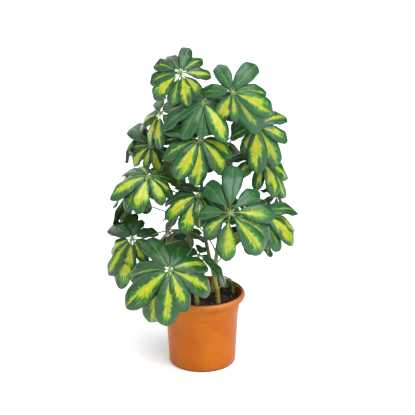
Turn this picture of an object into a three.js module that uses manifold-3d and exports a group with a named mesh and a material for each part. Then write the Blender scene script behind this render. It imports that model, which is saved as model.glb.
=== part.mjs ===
// A potted umbrella plant: an orange nursery pot, its soil, three leafy stems and their compound leaves.
// Millimetres, +Z up. The origin is the centre of the pot's foot, and the plant is seen from -Y. Each
// leaf is a long leaf stalk that ends in a ring of blades, which droop like an umbrella's ribs.
import * as THREE from "three";
import { mergeVertices } from "three/addons/utils/BufferGeometryUtils.js";
import Module from "manifold-3d";

const wasm = await Module();
wasm.setup();

// Pot
const POT_HEIGHT = 182;
const RIM_RADIUS = 105;
const POT_SIDES = 36;
const FLOOR_TOP = 6;
const DRAIN_HOLES = 6;
const DRAIN_RING_RADIUS = 56;
const DRAIN_RADIUS = 5;

// Soil
const SOIL_LEVEL = 160;
const SOIL_MOUND = 5;
const CLEARANCE = 0.3;

// Stems
const STEM_SIDES = 8;
const STEM_STEPS = 9;
const STEM_FOOT_RADIUS = 5.4;
const STEM_TIP_RADIUS = 3;

// Leaf stalks
const STALK_SIDES = 5;
const STALK_STEPS = 5;
const STALK_RADIUS = 1.7;
const STALK_FOOT_RADIUS = 2.8;
const STALK_RISE = 55;
const HUB_RADIUS = 5.5;
const BLADE_ROOT = 3;

// Blades
const BLADE_THICKNESS = 0.9;
const BLADE_HALF_WIDTH = 0.235;
const BLADE_STATIONS = [0.27, 0.58, 0.84, 0.985];
const BLADELET_STALK = 11;
const DROOP_AT_HUB = 6;
const DROOP_AT_TIP = 50;
const GRAVITY = 0.35;
const LAYER_DROOP = 4;
const RIB_STEPS = 24;

const COLOURS = {
  pot: 0xc8601f,
  soil: 0x2a1d14,
  stem: 0x7d8a45,
  leaf: 0x2f6b35,
};

// Each stem is a list of points on its centre line, from inside the soil to its tip.
const STEMS = {
  front: [[41, -33, 110], [37, -33, 190], [22, -32, 260], [8, -30, 330], [0, -26, 430], [0, -22, 520],
    [2, -20, 600]],
  left: [[-10, -52, 110], [-14, -50, 190], [-26, -42, 280], [-36, -30, 370], [-42, -18, 470],
    [-45, -10, 570],
    [-45, -6, 672]],
  back: [[20, 36, 110], [28, 40, 200], [40, 44, 300], [48, 42, 400], [52, 36, 500], [50, 30, 600],
    [48, 26, 640]],
};

// A fan is a leaf's blades: how far each is turned round the hub, from straight downhill, and its length.
// An even fan has all its blades alike, but for the shorter ones on its uphill side.
function evenFan(count, turn, length) {
  return Array.from({ length: count }, (_, i) => {
    const angle = turn + (360 * i) / count;
    return [angle, length * (0.89 + 0.11 * Math.cos(THREE.MathUtils.degToRad(angle)))];
  });
}

// Each leaf: the height of its foot on the stem, its hub, the way its umbrella faces (degrees from +X
// towards +Y), how far it leans that way from upright, and its fan.
const LEAVES = {
  front: [
    { foot: 598, hub: [69, -90, 695], face: -95, lean: 75,
      fan: [[5, 60], [38, 113], [70, 103], [97, 79], [150, 91], [208, 80], [262, 71], [330, 75]] },
    { foot: 530, hub: [3, -68, 666], face: -85, lean: 37,
      fan: [[35, 95], [80, 75], [130, 75], [180, 75], [230, 80], [280, 105], [322, 91], [355, 71]] },
    { foot: 500, hub: [-4, -91, 588], face: -73, lean: 55,
      fan: [[35, 91], [75, 95], [135, 79], [180, 81], [230, 85], [280, 91], [317, 99], [350, 101]] },
    { foot: 370, hub: [-6, -90, 454], face: -75, lean: 30,
      fan: [[20, 75], [70, 77], [120, 75], [165, 75], [205, 80], [245, 85], [285, 87], [320, 89],
        [350, 71]] },
    { foot: 335, hub: [64, -170, 437], face: -98, lean: 71,
      fan: [[45, 116], [65, 109], [100, 95], [140, 89], [180, 115], [217, 107], [265, 73], [308, 85],
        [350, 106]] },
    { foot: 260, hub: [-7, -90, 307], face: -45, lean: 30,
      fan: [[30, 90], [75, 76], [125, 74], [180, 67], [230, 58], [280, 60], [325, 55]] },
    { foot: 190, hub: [68, 20, 202], face: -10, lean: 30,
      fan: [[20, 25], [80, 23], [140, 21], [200, 21], [260, 23], [320, 27]] },
  ],
  left: [
    { foot: 668, hub: [-47, -84, 738], face: -90, lean: 65,
      fan: [[15, 67], [50, 65], [95, 63], [135, 67], [168, 69], [205, 65], [240, 69], [270, 73],
        [305, 79], [342, 71]] },
    { foot: 575, hub: [-95, -19, 630], face: -140, lean: 55,
      fan: [[20, 75], [75, 75], [130, 75], [180, 77], [230, 81], [262, 85], [290, 97], [325, 89]] },
    { foot: 475, hub: [-120, 19, 542], face: -110, lean: 60,
      fan: [[30, 55], [75, 65], [125, 71], [180, 81], [230, 103], [270, 73], [305, 65], [345, 50]] },
    { foot: 420, hub: [-122, -80, 496], face: -85, lean: 30,
      fan: [[25, 67], [62, 65], [100, 60], [150, 65], [200, 67], [245, 83], [285, 95], [312, 89], [338, 85],
        [222, 92]] },
    { foot: 335, hub: [-166, -30, 326], face: -115, lean: 52,
      fan: [[5, 67], [45, 60], [85, 50], [140, 65], [185, 65], [215, 117], [243, 95], [290, 77],
        [322, 101], [345, 117]] },
    { foot: 225, hub: [-72, -170, 301], face: -88, lean: 52,
      fan: [[25, 95], [72, 111], [115, 101], [163, 119], [210, 111], [260, 105], [300, 127], [328, 131],
        [357, 123],
        [187, 104]] },
    { foot: 610, hub: [-9, 80, 644], face: 120, lean: 35, fan: evenFan(7, 15, 89) },
    { foot: 520, hub: [-135, 110, 550], face: 130, lean: 36, fan: evenFan(8, 0, 85) },
    { foot: 380, hub: [-80, 130, 480], face: 118, lean: 48, fan: evenFan(7, 25, 93) },
    { foot: 345, hub: [-170, 75, 410], face: 130, lean: 48, fan: evenFan(7, 0, 87) },
    { foot: 195, hub: [-62, 65, 314], face: 120, lean: 38, fan: evenFan(7, 5, 83) },
  ],
  back: [
    { foot: 540, hub: [125, -40, 604], face: -95, lean: 60,
      fan: [[5, 99], [38, 101], [78, 75], [125, 85], [180, 80], [225, 75], [280, 65], [330, 65]] },
    { foot: 430, hub: [141, 0, 512], face: -60, lean: 40,
      fan: [[12, 87], [37, 101], [65, 83], [115, 77], [165, 75], [220, 77], [275, 75], [330, 65]] },
    { foot: 330, hub: [140, -60, 398], face: -80, lean: 42,
      fan: [[0, 75], [27, 89], [58, 101], [83, 97], [112, 105], [155, 85], [205, 80], [260, 75],
        [310, 71]] },
    { foot: 615, hub: [105, 90, 660], face: 30, lean: 40, fan: evenFan(7, 30, 85) },
    { foot: 515, hub: [110, 100, 590], face: 30, lean: 38, fan: evenFan(7, 15, 89) },
    { foot: 460, hub: [24, 151, 517], face: 85, lean: 45, fan: evenFan(8, 10, 91) },
    { foot: 400, hub: [168, 105, 485], face: 15, lean: 56, fan: evenFan(7, 10, 89) },
    { foot: 300, hub: [53, 145, 382], face: 60, lean: 45, fan: evenFan(8, 5, 95) },
    { foot: 260, hub: [-35, 145, 350], face: 108, lean: 40, fan: evenFan(7, 0, 89) },
    { foot: 225, hub: [118, 125, 296], face: 60, lean: 45, fan: evenFan(7, 15, 85) },
    { foot: 360, hub: [181, 58, 406], face: -30, lean: 50,
      fan: [[10, 33], [55, 39], [100, 43], [150, 35], [205, 33], [260, 35], [315, 31]] },
  ],
};

const degrees = THREE.MathUtils.degToRad;
const vector = (p) => new THREE.Vector3(...p);
const UP = new THREE.Vector3(0, 0, 1);

// Random numbers from 0 to 1, the same at every run for the same seed.
function randomFrom(seed) {
  let state = seed * 7919 + 17;
  return () => {
    state = (state * 48271) % 2147483647;
    return state / 2147483647;
  };
}

// A closed solid from a three.js geometry.
function solid(geometry) {
  const bare = new THREE.BufferGeometry().setAttribute("position", geometry.getAttribute("position"));
  if (geometry.index) bare.setIndex(geometry.index);
  const merged = mergeVertices(bare, 1e-3);
  const mesh = new wasm.Mesh({
    numProp: 3,
    vertProperties: new Float32Array(merged.attributes.position.array),
    triVerts: new Uint32Array(merged.index.array),
  });
  return new wasm.Manifold(mesh);
}

// A named mesh from a solid.
function mesh(name, body, colour, roughness) {
  const { vertProperties, triVerts } = body.getMesh();
  const geometry = new THREE.BufferGeometry();
  geometry.setAttribute("position", new THREE.BufferAttribute(vertProperties, 3));
  geometry.setIndex(new THREE.BufferAttribute(triVerts, 1));
  const flat = geometry.toNonIndexed();
  flat.computeVertexNormals();
  const finish = new THREE.MeshStandardMaterial({ color: colour, roughness, metalness: 0 });
  const made = new THREE.Mesh(flat, finish);
  made.name = name;
  return made;
}

// A closed solid through rings of points. Each ring turns left round the way that the rings go. The
// four-sided faces are split the same way, or the other way on the turned sides, so that two faces of a
// thin blade are split alike.
function loft(rings, turned = []) {
  const sides = rings[0].length;
  const last = (rings.length - 1) * sides;
  const faces = [];
  for (let ring = 0; ring < last; ring += sides) {
    for (let j = 0; j < sides; j += 1) {
      const next = (j + 1) % sides;
      const [from, to] = turned.includes(j)
        ? [ring + next, ring + sides + j]
        : [ring + j, ring + sides + next];
      faces.push(ring + j, ring + next, to);
      faces.push(from, ring + sides + next, ring + sides + j);
    }
  }
  for (let j = 1; j < sides - 1; j += 1) {
    faces.push(0, j + 1, j);
    faces.push(last, last + j, last + j + 1);
  }
  const geometry = new THREE.BufferGeometry();
  const places = rings.flat().flatMap((p) => p.toArray());
  geometry.setAttribute("position", new THREE.Float32BufferAttribute(places, 3));
  geometry.setIndex(faces);
  return solid(geometry);
}

// A round rod along a curve, whose radius is given at each share of its length.
function rod(curve, steps, sides, side, radiusAt) {
  const rings = [];
  for (let i = 0; i <= steps; i += 1) {
    const along = curve.getTangent(i / steps);
    const across = side.clone().addScaledVector(along, -side.dot(along)).normalize();
    const other = along.clone().cross(across);
    const ring = [];
    for (let j = 0; j < sides; j += 1) {
      const angle = (2 * Math.PI * j) / sides;
      const radius = radiusAt(i / steps);
      ring.push(curve.getPoint(i / steps)
        .addScaledVector(across, radius * Math.cos(angle))
        .addScaledVector(other, radius * Math.sin(angle)));
    }
    rings.push(ring);
  }
  return loft(rings);
}

// Pot: one wall, a rolled rim and a foot ring, with drain holes through the raised part of its floor.
const POT_OUTSIDE = [[0, 0], [40, 0], [44, 3], [66, 3], [69, 0], [77, 0], [81.5, 5], [85.5, 80],
  [88.5, 135], [90, 138.5],
  [93, 155], [97, 164], [103, 166.5], [RIM_RADIUS, 172], [103.5, 178.5], [99.5, POT_HEIGHT], [95.5, 179.5]];
const POT_INSIDE = [[92.5, 168], [86, 134], [79, FLOOR_TOP]];

function pot() {
  const profile = [...POT_OUTSIDE, ...POT_INSIDE, [0, FLOOR_TOP]].map(([r, z]) => new THREE.Vector2(r, z));
  let body = solid(new THREE.LatheGeometry(profile, POT_SIDES).rotateX(Math.PI / 2));
  for (let i = 0; i < DRAIN_HOLES; i += 1) {
    const angle = (2 * Math.PI * i) / DRAIN_HOLES;
    const drill = new THREE.CylinderGeometry(DRAIN_RADIUS, DRAIN_RADIUS, 20, 8).rotateX(Math.PI / 2);
    drill.translate(DRAIN_RING_RADIUS * Math.cos(angle), DRAIN_RING_RADIUS * Math.sin(angle), 0);
    body = body.subtract(solid(drill));
  }
  return body;
}

// The inside radius of the pot at a height.
function insideRadius(z) {
  const spans = POT_INSIDE.slice(1).map((p, i) => [POT_INSIDE[i], p]);
  const [upper, lower] = spans.find((pair) => z >= pair[1][1]);
  return THREE.MathUtils.mapLinear(z, lower[1], upper[1], lower[0], upper[0]);
}

// Height of the soil above its level at the wall: a low mound with a few lumps.
function soilHeight(x, y, wall) {
  const inward = 1 - Math.hypot(x, y) / wall;
  const lumps = Math.sin(x / 11) * Math.cos(y / 13 + 1) + Math.sin((x + 2 * y) / 23);
  return SOIL_MOUND * Math.sqrt(inward) + 1.6 * lumps * Math.min(1, 4 * inward);
}

function soil(stems) {
  const wall = insideRadius(SOIL_LEVEL) - CLEARANCE;
  const below = POT_INSIDE.filter(([, z]) => z < SOIL_LEVEL).reverse().map(([r, z]) => [r - CLEARANCE, z]);
  below[0][1] += CLEARANCE;
  const top = [0.8, 0.45].map((share) => [wall * share, SOIL_LEVEL]);
  const profile = [[0, below[0][1]], ...below, [wall, SOIL_LEVEL], ...top, [0, SOIL_LEVEL]];
  const turned = new THREE.LatheGeometry(profile.map(([r, z]) => new THREE.Vector2(r, z)), POT_SIDES);
  turned.rotateX(Math.PI / 2);
  const position = turned.getAttribute("position");
  for (let i = 0; i < position.count; i += 1) {
    const [x, y, z] = [position.getX(i), position.getY(i), position.getZ(i)];
    const inside = Math.hypot(x, y) < wall - 1;
    if (z > SOIL_LEVEL - 1 && inside) position.setZ(i, SOIL_LEVEL + soilHeight(x, y, wall));
  }
  return stems.reduce((body, stem) => body.subtract(stem), solid(turned));
}

// Stem: a tapering rod. The same rod, grown by the clearance, cuts the soil and the leaf stalks back from
// it.
function stem(points, grow) {
  const curve = new THREE.CatmullRomCurve3(points.map(vector));
  const side = new THREE.Vector3(1, 0, 0);
  const radiusAt = (share) => THREE.MathUtils.lerp(STEM_FOOT_RADIUS, STEM_TIP_RADIUS, share) + grow;
  return rod(curve, STEM_STEPS, STEM_SIDES, side, radiusAt);
}

// The point of a stem's centre line at a height.
function stemPoint(points, height) {
  const curve = new THREE.CatmullRomCurve3(points.map(vector));
  const samples = curve.getPoints(400);
  return samples.find((p) => p.z >= height) ?? samples.at(-1);
}

// Half the width of a blade at a share of its length: widest at two thirds, round at the tip.
function bladeHalfWidth(share) {
  return ((share / 0.667) ** 0.9) * (((1 - share) / 0.333) ** 0.45);
}

// The umbrella's frame: its axis, the way downhill across it, and the way round it.
function umbrellaFrame(leaf) {
  const [face, lean] = [degrees(leaf.face), degrees(leaf.lean)];
  const flat = new THREE.Vector3(Math.cos(face), Math.sin(face), 0);
  const axis = flat.clone().multiplyScalar(Math.sin(lean)).addScaledVector(UP, Math.cos(lean));
  const down = flat.clone().multiplyScalar(Math.cos(lean)).addScaledVector(UP, -Math.sin(lean));
  return { axis, down, round: axis.clone().cross(down) };
}

// The rib of one blade: points from the hub to the tip, with the way along, across and out of the blade
// at each.
function rib(leaf, blade) {
  const { axis, down, round } = umbrellaFrame(leaf);
  const points = [];
  const here = vector(leaf.hub);
  for (let i = 0; i <= RIB_STEPS; i += 1) {
    const share = i / RIB_STEPS;
    const turn = blade.turn + blade.sway * share;
    const droop = THREE.MathUtils.lerp(blade.droopAtHub, blade.droopAtTip, share ** 1.3);
    const outward = down.clone().multiplyScalar(Math.cos(turn)).addScaledVector(round, Math.sin(turn));
    const along = outward.clone().multiplyScalar(Math.cos(droop)).addScaledVector(axis, -Math.sin(droop));
    along.addScaledVector(UP, -GRAVITY * share).normalize();
    const across = axis.clone().cross(outward);
    across.addScaledVector(along, -across.dot(along)).normalize();
    const out = along.clone().cross(across);
    const rolled = across.clone().multiplyScalar(Math.cos(blade.roll));
    rolled.addScaledVector(out, Math.sin(blade.roll));
    points.push({ at: here.clone(), along, across: rolled, out: along.clone().cross(rolled) });
    here.addScaledVector(along, blade.reach / RIB_STEPS);
  }
  return points;
}

// The blades of a leaf, with small seeded differences in the way that they hang.
function blades(leaf) {
  const random = randomFrom(leaf.foot);
  const spread = (size) => degrees(size) * (2 * random() - 1);
  return leaf.fan.map(([turn, length], i) => {
    const layer = degrees(i % 2 ? LAYER_DROOP : -LAYER_DROOP);
    return {
      turn: degrees(turn),
      length,
      stalk: BLADELET_STALK,
      reach: length + BLADELET_STALK,
      droopAtHub: degrees(DROOP_AT_HUB) + layer,
      droopAtTip: degrees(DROOP_AT_TIP) + layer + spread(6),
      roll: spread(10),
      sway: spread(8),
    };
  });
}

// One blade with its own short stalk, as a thin strip through a few stations of its rib.
function bladeSolid(leaf, blade) {
  const points = rib(leaf, blade);
  const section = (reachShare, halfWidth) => {
    const place = reachShare * RIB_STEPS;
    const [low, high] = [Math.floor(place), Math.min(RIB_STEPS, Math.floor(place) + 1)];
    const mix = (key) => points[low][key].clone().lerp(points[high][key], place - low);
    const [at, across, out] = [mix("at"), mix("across").normalize(), mix("out").normalize()];
    const point = (side, depth) =>
      at.clone().addScaledVector(across, side * halfWidth).addScaledVector(out, -depth);
    return [point(1, BLADE_THICKNESS), point(1, 0), point(-1, 0), point(-1, BLADE_THICKNESS)];
  };
  const width = blade.length * BLADE_HALF_WIDTH;
  const rings = [section(BLADE_ROOT / blade.reach, 0.9), section(blade.stalk / blade.reach, 1.2)];
  BLADE_STATIONS.forEach((share) => {
    const reachShare = (blade.stalk + share * blade.length) / blade.reach;
    rings.push(section(reachShare, width * bladeHalfWidth(share)));
  });
  return loft(rings, [1]);
}

// The leaf stalk rises from the stem, arches over and meets the hub from behind the umbrella.
function stalkCurve(leaf, foot) {
  const hub = vector(leaf.hub);
  const across = hub.clone().sub(foot).setZ(0);
  const span = hub.distanceTo(foot);
  const rise = degrees(STALK_RISE);
  const leaving = across.clone().setLength(Math.cos(rise)).addScaledVector(UP, Math.sin(rise));
  const { axis } = umbrellaFrame(leaf);
  return new THREE.CubicBezierCurve3(foot, foot.clone().addScaledVector(leaving, 0.4 * span),
    hub.clone().addScaledVector(axis, -0.35 * span), hub);
}

function leafSolid(leaf, points) {
  const foot = stemPoint(points, leaf.foot);
  const curve = stalkCurve(leaf, foot);
  const across = vector(leaf.hub).sub(foot).cross(UP).normalize();
  const radiusAt = (share) => Math.max(STALK_RADIUS, STALK_FOOT_RADIUS * (1 - 3 * share));
  const stalk = rod(curve, STALK_STEPS, STALK_SIDES, across, radiusAt);
  const hub = solid(new THREE.OctahedronGeometry(HUB_RADIUS, 0).translate(...leaf.hub));
  const ring = blades(leaf).map((blade) => bladeSolid(leaf, blade));
  return ring.reduce((body, blade) => body.add(blade), stalk.add(hub)).subtract(stem(points, CLEARANCE));
}

const group = new THREE.Group();
group.add(mesh("pot", pot(), COLOURS.pot, 0.45));
const stemHoles = Object.values(STEMS).map((points) => stem(points, CLEARANCE));
group.add(mesh("soil", soil(stemHoles), COLOURS.soil, 0.95));
Object.entries(STEMS).forEach(([name, points]) => {
  group.add(mesh(`${name}_stem`, stem(points, 0), COLOURS.stem, 0.6));
  LEAVES[name].forEach((leaf, i) => {
    group.add(mesh(`${name}_leaf_${i + 1}`, leafSolid(leaf, points), COLOURS.leaf, 0.35));
  });
});

export default group;
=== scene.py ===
import math
from collections import namedtuple
from functools import reduce

import bpy
import numpy as np
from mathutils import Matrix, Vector, noise


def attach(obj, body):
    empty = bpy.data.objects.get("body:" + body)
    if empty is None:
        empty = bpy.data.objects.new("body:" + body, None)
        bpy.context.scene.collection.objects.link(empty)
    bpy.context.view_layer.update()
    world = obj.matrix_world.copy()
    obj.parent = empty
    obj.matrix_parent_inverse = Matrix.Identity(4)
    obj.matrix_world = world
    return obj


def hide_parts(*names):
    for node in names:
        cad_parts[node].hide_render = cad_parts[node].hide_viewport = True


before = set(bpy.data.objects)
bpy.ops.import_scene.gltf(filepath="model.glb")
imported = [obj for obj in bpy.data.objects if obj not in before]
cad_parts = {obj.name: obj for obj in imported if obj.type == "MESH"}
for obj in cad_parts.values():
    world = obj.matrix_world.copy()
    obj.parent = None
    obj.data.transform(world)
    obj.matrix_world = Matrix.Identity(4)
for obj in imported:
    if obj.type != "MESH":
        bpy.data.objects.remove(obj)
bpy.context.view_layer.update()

MM = 0.001
UP = np.array([0.0, 0.0, 1.0])

# Stems. Rings of leaf scars start above the soil, evenly spaced apart from a drawn stray.
STEM_FOOT_RADIUS = 5.4
STEM_TIP_RADIUS = 3
SWELLING_HEIGHT = 168
FIRST_SCAR = 172
SCAR_SPACING = 26
SCAR_STRAY = 10
LAST_SCAR_BELOW_TIP = 8

# Leaf stalks
STALK_RADIUS = 1.7
STALK_FOOT_RADIUS = 2.8
STALK_RISE = 55
HUB_RADIUS = 4.3

# Blades. Angles are in degrees, and the half width is a share of the length.
BLADE_HALF_WIDTH = 0.235
BLADELET_STALK = 11
BLADELET_STALK_RADIUS = 1.4
MIDRIB_RADIUS = 1.05
MIDRIB_TIP_RADIUS = 0.18
DROOP_AT_HUB = 6
DROOP_AT_TIP = 50
GRAVITY = 0.35
LAYER_DROOP = 4
RIB_STEPS = 24

# A blade starts on its own short stalk, from the nearest share of that up to the spread beyond it.
NEAREST_START = 0.45
START_SPREAD = 0.8

# A blade's outline: the share of its length where it is widest, how blunt its tip is, and the least half
# width, in metres.
WIDEST_AT = 0.667
TIP_BLUNTNESS = 0.45
LEAST_HALF = 0.0012

# Pot, drain holes and soil
POT_SIDES = 160
DRAIN_HOLES = 6
HOLE_PLACE = 56
HOLE_RADIUS = 5
HOLE_SIDES = 24
SOIL_RADIUS = 90.6
SOIL_LEVEL = 160.0
SOIL_MOUND = 5
SOIL_FLOOR = 6.3
SOIL_RINGS = 34
SOIL_SIDES = 120

# Where the pot's colour changes, in metres: the height and half width of its two grooves, with the strength
# of the painted shade in each, and the radius of its inner wall at the bottom, with the slope of that.
GROOVES = ((0.1645, 0.0026, 0.75), (0.1362, 0.0014, 0.6))
INNER_RADIUS = 0.0613
INNER_SLOPE = 0.19

# Camera and floor
CAMERA_LENS = 103.4
CAMERA_PLACE = (0.013, -2.70, 1.28)
CAMERA_TILT = 18.16
FLOOR_REACH = 30


def even_fan(count, turn, length):
    """The blades of a leaf, evenly turned round its hub, with shorter ones on the uphill side."""
    angles = [turn + 360 * i / count for i in range(count)]
    return [[a, length * (0.89 + 0.11 * math.cos(math.radians(a)))] for a in angles]


# The points that each stem passes through, from its foot upwards.
STEMS = {
    "front": [[41, -33, 110], [37, -33, 190], [22, -32, 260], [8, -30, 330], [0, -26, 430], [0, -22, 520],
              [2, -20, 600]],
    "left": [[-10, -52, 110], [-14, -50, 190], [-26, -42, 280], [-36, -30, 370], [-42, -18, 470],
             [-45, -10, 570], [-45, -6, 672]],
    "back": [[20, 36, 110], [28, 40, 200], [40, 44, 300], [48, 42, 400], [52, 36, 500], [50, 30, 600],
             [48, 26, 640]],
}

# The leaves of each stem: the height at which the stalk leaves the stem, the place of the hub, the way that
# the umbrella faces in degrees from +X towards +Y, how far it leans that way, and each blade's turn round the
# hub, in degrees from downhill, with its length.
Leaf = namedtuple("Leaf", "foot hub face lean fan")
LEAVES = {
    "front": [
        Leaf(598, [69, -90, 695], -95, 75, [[5, 60], [38, 113], [70, 103], [97, 79], [150, 91], [208, 80],
              [262, 71], [330, 75]]),
        Leaf(530, [3, -68, 666], -85, 37, [[35, 95], [80, 75], [130, 75], [180, 75], [230, 80], [280, 105],
              [322, 91], [355, 71]]),
        Leaf(500, [-4, -91, 588], -73, 55, [[35, 91], [75, 95], [135, 79], [180, 81], [230, 85], [280, 91],
              [317, 99], [350, 101]]),
        Leaf(370, [-6, -90, 454], -75, 30, [[20, 75], [70, 77], [120, 75], [165, 75], [205, 80], [245, 85],
              [285, 87], [320, 89], [350, 71]]),
        Leaf(335, [64, -170, 437], -98, 71, [[45, 116], [65, 109], [100, 95], [140, 89], [180, 115],
              [217, 107], [265, 73], [308, 85], [350, 106]]),
        Leaf(260, [-7, -90, 307], -45, 30, [[30, 90], [75, 76], [125, 74], [180, 67], [230, 58], [280, 60],
              [325, 55]]),
        Leaf(190, [68, 20, 202], -10, 30, [[20, 25], [80, 23], [140, 21], [200, 21], [260, 23], [320, 27]]),
    ],
    "left": [
        Leaf(668, [-47, -84, 738], -90, 65, [[15, 67], [50, 65], [95, 63], [135, 67], [168, 69], [205, 65],
              [240, 69], [270, 73], [305, 79], [342, 71]]),
        Leaf(575, [-95, -19, 630], -140, 55, [[20, 75], [75, 75], [130, 75], [180, 77], [230, 81], [262, 85],
              [290, 97], [325, 89]]),
        Leaf(475, [-120, 19, 542], -110, 60, [[30, 55], [75, 65], [125, 71], [180, 81], [230, 103], [270, 73],
              [305, 65], [345, 50]]),
        Leaf(420, [-122, -80, 496], -85, 30, [[25, 67], [62, 65], [100, 60], [150, 65], [200, 67], [245, 83],
              [285, 95], [312, 89], [338, 85], [222, 92]]),
        Leaf(335, [-166, -30, 326], -115, 52, [[5, 67], [45, 60], [85, 50], [140, 65], [185, 65], [215, 117],
              [243, 95], [290, 77], [322, 101], [345, 117]]),
        Leaf(225, [-72, -170, 301], -88, 52, [[25, 95], [72, 111], [115, 101], [163, 119], [210, 111],
              [260, 105], [300, 127], [328, 131], [357, 123], [187, 104]]),
        Leaf(610, [-9, 80, 644], 120, 35, even_fan(7, 15, 89)),
        Leaf(520, [-135, 110, 550], 130, 36, even_fan(8, 0, 85)),
        Leaf(380, [-80, 130, 480], 118, 48, even_fan(7, 25, 93)),
        Leaf(345, [-170, 75, 410], 130, 48, even_fan(7, 0, 87)),
        Leaf(195, [-62, 65, 314], 120, 38, even_fan(7, 5, 83)),
    ],
    "back": [
        Leaf(540, [125, -40, 604], -95, 60, [[5, 99], [38, 101], [78, 75], [125, 85], [180, 80], [225, 75],
              [280, 65], [330, 65]]),
        Leaf(430, [141, 0, 512], -60, 40, [[12, 87], [37, 101], [65, 83], [115, 77], [165, 75], [220, 77],
              [275, 75], [330, 65]]),
        Leaf(330, [140, -60, 398], -80, 42, [[0, 75], [27, 89], [58, 101], [83, 97], [112, 105], [155, 85],
              [205, 80], [260, 75], [310, 71]]),
        Leaf(615, [105, 90, 660], 30, 40, even_fan(7, 30, 85)),
        Leaf(515, [110, 100, 590], 30, 38, even_fan(7, 15, 89)),
        Leaf(460, [24, 151, 517], 85, 45, even_fan(8, 10, 91)),
        Leaf(400, [168, 105, 485], 15, 56, even_fan(7, 10, 89)),
        Leaf(300, [53, 145, 382], 60, 45, even_fan(8, 5, 95)),
        Leaf(260, [-35, 145, 350], 108, 40, even_fan(7, 0, 89)),
        Leaf(225, [118, 125, 296], 60, 45, even_fan(7, 15, 85)),
        Leaf(360, [181, 58, 406], -30, 50, [[10, 33], [55, 39], [100, 43], [150, 35], [205, 33], [260, 35],
              [315, 31]]),
    ],
}

# How much yellow the blades of some leaves carry, from 0 for plain green to 1. The others leave it to a draw.
YELLOW = {
    "front_leaf_1": [0.8, 0.25, 1.0, 0.5, 0.0, 0.1, 0.1, 0.9],
    "front_leaf_2": [0.8, 0.0, 0.0, 0.0, 0.0, 0.05, 0.05, 0.1],
    "front_leaf_3": [0.8, 0.75, 0.1, 0.05, 0.1, 0.6, 0.65, 0.75],
    "front_leaf_4": [0.3, 0.1, 0.0, 0.2, 0.0, 0.1, 0.7, 0.95, 0.2],
    "front_leaf_5": [0.95, 0.9, 0.85, 0.05, 0.05, 0.05, 0.1, 0.95, 0.95],
    "front_leaf_6": [0.0, 0.1, 0.0, 0.1, 0.0, 0.1, 0.05],
    "front_leaf_7": [0.0] * 6,
    "back_leaf_11": [0.0] * 7,
    "left_leaf_1": [0.85, 0.8, 0.4, 0.15, 0.05, 0.1, 0.15, 0.4, 0.9, 0.9],
    "left_leaf_4": [0.85, 0.6, 0.3, 0.2, 0.3, 0.75, 0.8, 0.8, 0.85, 0.1],
    "left_leaf_6": [0.75, 0.5, 0.3, 0.05, 0.1, 0.15, 0.7, 0.75, 0.65, 0.05],
}

# How blue and bright the green of some leaves is, from 0 for dark olive to 1 for blue-green: partly each
# leaf's own tint, partly painted sheen on leaves that face the light and painted shade on leaves turned
# away from it. The others leave it to a draw.
LEAF_TINT_SHEEN_AND_SHADE = {
    "front_leaf_1": 0.95, "front_leaf_2": 0.85, "front_leaf_3": 0.6, "front_leaf_4": 0.3, "front_leaf_5": 0.9,
    "front_leaf_6": 0.6, "left_leaf_1": 0.25, "left_leaf_2": 0.15, "left_leaf_3": 0.05, "left_leaf_4": 0.25,
    "left_leaf_5": 0.1, "left_leaf_6": 0.35, "left_leaf_11": 0.2, "back_leaf_1": 0.85, "back_leaf_2": 0.7,
    "back_leaf_3": 0.8, "back_leaf_11": 0.2,
}

# Two leaves whose blades stand on barer feet, with slimmer or deeper folded blades than the rest.
FORM = {
    "front_leaf_5": {"Bare Foot": 0.09, "Taper": 0.85, "Fold": 0.45, "Half Width": 0.225},
    "left_leaf_1": {"Bare Foot": 0.02, "Taper": 0.75},
}


# Helpers for node trees

def feed(socket, value):
    """Links an input socket to another socket, or sets it to a value."""
    if isinstance(value, bpy.types.NodeSocket):
        socket.id_data.links.new(value, socket)
    else:
        socket.default_value = value


def tree_of(*values):
    """The node tree of the first socket among these values."""
    return next(value.id_data for value in values if isinstance(value, bpy.types.NodeSocket))


def add(tree, kind, inputs=None, **settings):
    """A new node with its settings, and with its inputs by name or number."""
    node = tree.nodes.new(kind)
    for key, value in settings.items():
        setattr(node, key, value)
    for key, value in (inputs or {}).items():
        feed(node.inputs[key], value)
    return node


def calc(operation, *values):
    """A Math node's result."""
    inputs = dict(enumerate(values))
    return add(tree_of(*values), "ShaderNodeMath", inputs, operation=operation).outputs[0]


def plus(*values):
    return reduce(lambda first, second: calc("ADD", first, second), values)


def minus(first, second):
    return calc("SUBTRACT", first, second)


def times(*values):
    return reduce(lambda first, second: calc("MULTIPLY", first, second), values)


def power(value, exponent):
    return calc("POWER", value, exponent)


def size_of(value):
    return calc("ABSOLUTE", value)


def vector(operation, *values):
    """A Vector Math node's vector result. SCALE takes its factor as the second value."""
    named = dict(enumerate(values))
    if operation == "SCALE":
        named = {0: values[0], "Scale": values[1]}
    return add(tree_of(*values), "ShaderNodeVectorMath", named, operation=operation).outputs[0]


def combine(x, y, z):
    return add(tree_of(x, y, z), "ShaderNodeCombineXYZ", {0: x, 1: y, 2: z}).outputs[0]


def split(value):
    return add(value.id_data, "ShaderNodeSeparateXYZ", {0: value}).outputs


def ramp(value, low, high, to_low=0.0, to_high=1.0, smooth=True):
    """value from low to high, as to_low to to_high, eased at both ends unless smooth is false."""
    inputs = {0: value, 1: low, 2: high, 3: to_low, 4: to_high}
    easing = "SMOOTHSTEP" if smooth else "LINEAR"
    return add(value.id_data, "ShaderNodeMapRange", inputs, interpolation_type=easing).outputs[0]


def mix(share, first, second):
    """A colour that goes from the first to the second as share goes from 0 to 1."""
    node = add(tree_of(share, first, second), "ShaderNodeMix", {0: share}, data_type="RGBA")
    for key, colour in ((6, first), (7, second)):
        feed(node.inputs[key], (*colour, 1.0) if isinstance(colour, tuple) else colour)
    return node.outputs[2]


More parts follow.
